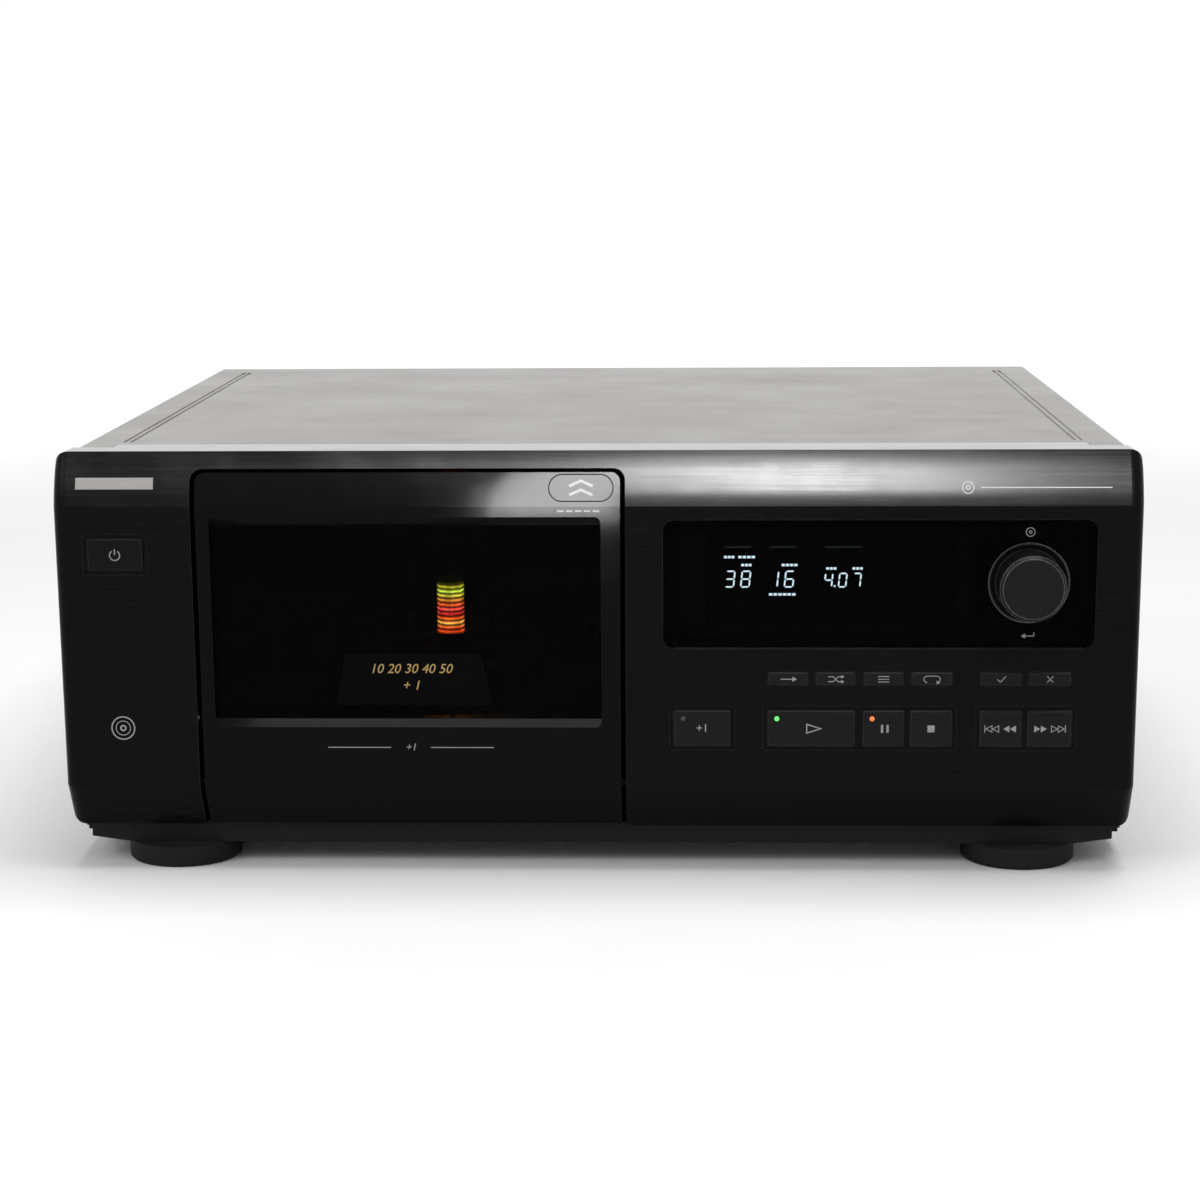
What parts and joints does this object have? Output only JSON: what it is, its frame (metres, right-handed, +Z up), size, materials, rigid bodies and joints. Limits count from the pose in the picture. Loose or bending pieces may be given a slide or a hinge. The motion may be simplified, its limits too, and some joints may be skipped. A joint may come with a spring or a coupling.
{
  "type": "disc changer",
  "caption": "Wide disc changer with a drop-down front door, a rotary table of upright disc slots, a loading mechanism, a display, a dial and keys.",
  "frame": {"origin": "on the ground, under the middle of the machine's box", "axes": "+X to the right seen from the front, +Y to the back, +Z up"},
  "size_m": [0.4336, 0.405, 0.17],
  "materials": {
    "panel_black": "near-black moulding with fine horizontal hairlines, satin",
    "door_black": "near-black moulding with fine horizontal hairlines, satin",
    "smoked_pane": "smoked clear plastic, glossy",
    "display_pane": "smoked clear plastic, glossy",
    "cover_paint": "dark satin paint on sheet steel, lightly scuffed",
    "plinth_black": "dark moulding",
    "zinc_steel": "zinc-plated sheet",
    "rear_paint": "black paint on sheet steel",
    "screw_black": "black oxide",
    "pin_steel": "ground steel",
    "slide_black": "glass-filled moulding",
    "gear_white": "natural acetal",
    "tube_glass": "vacuum display glass",
    "board_green": "coated circuit board",
    "component_black": "moulded components",
    "ring_black": "turned black ring",
    "knob_black": "satin black knob with a polished edge",
    "shaft_metal": "turned",
    "table_black": "dark satin moulding",
    "post_black": "dark moulding",
    "lamp_clear": "clear ribbed light guide",
    "motor_steel": "plated motor can",
    "mech_steel": "plated mechanism plate",
    "turntable_black": "moulded turntable",
    "core_steel": "varnished laminations",
    "jack_black": "socket housings with plated sleeves",
    "key_grey": "dark grey satin moulding",
    "foot_rubber": "dark moulding with a rubber face"
  },
  "bodies": {
    "root": {"front_bezel": "panel_black", "display_window": "display_pane", "top_cover": "cover_paint", "front_plinth": "plinth_black", "base_chassis": "zinc_steel", "rear_panel": "rear_paint", "machine_screws": "screw_black", "door_catch": "slide_black", "door_damper": "slide_black", "display_tube": "tube_glass", "control_board": "board_green", "panel_switches": "component_black", "dial_ring": "ring_black", "centre_post": "post_black", "light_column": "lamp_clear", "table_motor": "motor_steel", "mech_frame": "mech_steel", "loading_motor": "motor_steel", "spindle_motor": "motor_steel", "sled_rods": "pin_steel", "main_board": "board_green", "board_components": "component_black", "transformer": "core_steel", "audio_jacks": "jack_black", "rear_sockets": "jack_black", "cord_gland": "jack_black", "foot_front_left": "foot_rubber", "foot_rear_left": "foot_rubber", "foot_front_right": "foot_rubber", "foot_rear_right": "foot_rubber"},
    "door": {"door_frame": "door_black", "door_window": "smoked_pane", "door_hinge_pins": "pin_steel"},
    "damper_gear": {"damper_gear": "gear_white"},
    "catch_plunger": {"catch_plunger": "slide_black"},
    "power_button": {"power_button": "key_grey"},
    "dial_shaft": {"dial_shaft": "shaft_metal"},
    "dial_knob": {"dial_knob": "knob_black"},
    "rotary_table": {"rotary_table": "table_black"},
    "reduction_gear": {"reduction_gear": "gear_white"},
    "table_pinion": {"table_pinion": "gear_white"},
    "loading_slide": {"loading_slide": "slide_black"},
    "loading_pinion": {"loading_pinion": "gear_white"},
    "disc_turntable": {"disc_turntable": "turntable_black"},
    "clamp_arm": {"clamp_arm": "mech_steel"},
    "clamp_puck": {"clamp_puck": "turntable_black"},
    "pickup_sled": {"pickup_sled": "slide_black"},
    "sled_pinion": {"sled_pinion": "gear_white"},
    "plus_one_key": {"plus_one_key": "key_grey"},
    "play_key": {"play_key": "key_grey"},
    "pause_key": {"pause_key": "key_grey"},
    "stop_key": {"stop_key": "key_grey"},
    "previous_key": {"previous_key": "key_grey"},
    "next_key": {"next_key": "key_grey"},
    "continue_key": {"continue_key": "key_grey"},
    "shuffle_key": {"shuffle_key": "key_grey"},
    "program_key": {"program_key": "key_grey"},
    "repeat_key": {"repeat_key": "key_grey"},
    "check_key": {"check_key": "key_grey"},
    "clear_key": {"clear_key": "key_grey"}
  },
  "joints": [
    {"name": "door_hinge", "type": "hinge", "parent": "root", "child": "door", "pos_m": [-0.074, -0.1775, 0.035], "axis": [1, 0, 0], "range_deg": [0, 85]},
    {"name": "damper_spin", "type": "hinge", "parent": "root", "child": "damper_gear", "pos_m": [-0.1515, -0.16259, 0.0563], "axis": [1, 0, 0], "range_deg": [-290, 0]},
    {"name": "catch_push", "type": "slide", "parent": "root", "child": "catch_plunger", "axis": [0, 1, 0], "range_m": [0, 0.004], "stiffness_N_per_m": 150},
    {"name": "power_press", "type": "slide", "parent": "root", "child": "power_button", "axis": [0, 1, 0], "range_m": [0, 0.0025], "stiffness_N_per_m": 400},
    {"name": "plus_one_press", "type": "slide", "parent": "root", "child": "plus_one_key", "axis": [0, 1, 0], "range_m": [0, 0.0008], "stiffness_N_per_m": 900},
    {"name": "play_press", "type": "slide", "parent": "root", "child": "play_key", "axis": [0, 1, 0], "range_m": [0, 0.0008], "stiffness_N_per_m": 900},
    {"name": "pause_press", "type": "slide", "parent": "root", "child": "pause_key", "axis": [0, 1, 0], "range_m": [0, 0.0008], "stiffness_N_per_m": 900},
    {"name": "stop_press", "type": "slide", "parent": "root", "child": "stop_key", "axis": [0, 1, 0], "range_m": [0, 0.0008], "stiffness_N_per_m": 900},
    {"name": "previous_press", "type": "slide", "parent": "root", "child": "previous_key", "axis": [0, 1, 0], "range_m": [0, 0.0008], "stiffness_N_per_m": 900},
    {"name": "next_press", "type": "slide", "parent": "root", "child": "next_key", "axis": [0, 1, 0], "range_m": [0, 0.0008], "stiffness_N_per_m": 900},
    {"name": "continue_press", "type": "slide", "parent": "root", "child": "continue_key", "axis": [0, 1, 0], "range_m": [0, 0.0008], "stiffness_N_per_m": 900},
    {"name": "shuffle_press", "type": "slide", "parent": "root", "child": "shuffle_key", "axis": [0, 1, 0], "range_m": [0, 0.0008], "stiffness_N_per_m": 900},
    {"name": "program_press", "type": "slide", "parent": "root", "child": "program_key", "axis": [0, 1, 0], "range_m": [0, 0.0008], "stiffness_N_per_m": 900},
    {"name": "repeat_press", "type": "slide", "parent": "root", "child": "repeat_key", "axis": [0, 1, 0], "range_m": [0, 0.0008], "stiffness_N_per_m": 900},
    {"name": "check_press", "type": "slide", "parent": "root", "child": "check_key", "axis": [0, 1, 0], "range_m": [0, 0.0008], "stiffness_N_per_m": 900},
    {"name": "clear_press", "type": "slide", "parent": "root", "child": "clear_key", "axis": [0, 1, 0], "range_m": [0, 0.0008], "stiffness_N_per_m": 900},
    {"name": "dial_push", "type": "slide", "parent": "root", "child": "dial_shaft", "axis": [0, 1, 0], "range_m": [0, 0.0006], "stiffness_N_per_m": 1500},
    {"name": "dial_turn", "type": "hinge", "parent": "dial_shaft", "child": "dial_knob", "pos_m": [0.1705, -0.1875, 0.1185], "axis": [0, 1, 0], "continuous": true},
    {"name": "table_turn", "type": "hinge", "parent": "root", "child": "rotary_table", "pos_m": [-0.074, -0.0095, 0.03], "axis": [0, 0, 1], "continuous": true},
    {"name": "reduction_turn", "type": "hinge", "parent": "root", "child": "reduction_gear", "pos_m": [-0.074, 0.112, 0.02], "axis": [0, 0, 1], "continuous": true},
    {"name": "table_pinion_turn", "type": "hinge", "parent": "root", "child": "table_pinion", "pos_m": [-0.074, 0.142, 0.014], "axis": [0, 0, 1], "continuous": true},
    {"name": "load_travel", "type": "slide", "parent": "root", "child": "loading_slide", "axis": [1, 0, 0], "range_m": [0, 0.126]},
    {"name": "load_pinion_turn", "type": "hinge", "parent": "root", "child": "loading_pinion", "pos_m": [0.076, 0, 0.1512], "axis": [0, 1, 0], "range_deg": [0, 1230]},
    {"name": "spindle_turn", "type": "hinge", "parent": "root", "child": "disc_turntable", "pos_m": [0.13, -0.0095, 0.095], "axis": [0, 1, 0], "continuous": true},
    {"name": "clamp_swing", "type": "hinge", "parent": "root", "child": "clamp_arm", "pos_m": [0.13, -0.02, 0.162], "axis": [-1, 0, 0], "range_deg": [0, 12]},
    {"name": "puck_turn", "type": "hinge", "parent": "clamp_arm", "child": "clamp_puck", "pos_m": [0.13, -0.0145, 0.095], "axis": [0, 1, 0], "continuous": true},
    {"name": "sled_travel", "type": "slide", "parent": "root", "child": "pickup_sled", "axis": [1, 0, 0], "range_m": [0, 0.034]},
    {"name": "sled_pinion_turn", "type": "hinge", "parent": "root", "child": "sled_pinion", "pos_m": [0.15, -0.0035, 0.067], "axis": [0, 1, 0], "range_deg": [0, 332]}
  ],
  "couplings": [
    {"joint": "damper_spin", "follows": "door_hinge", "ratio": -3.3333},
    {"joint": "reduction_turn", "follows": "table_turn", "ratio": -12.5},
    {"joint": "table_pinion_turn", "follows": "table_turn", "ratio": 50},
    {"joint": "load_pinion_turn", "follows": "load_travel", "rad_per_m": 166.67},
    {"joint": "sled_pinion_turn", "follows": "sled_travel", "rad_per_m": 166.67}
  ]
}
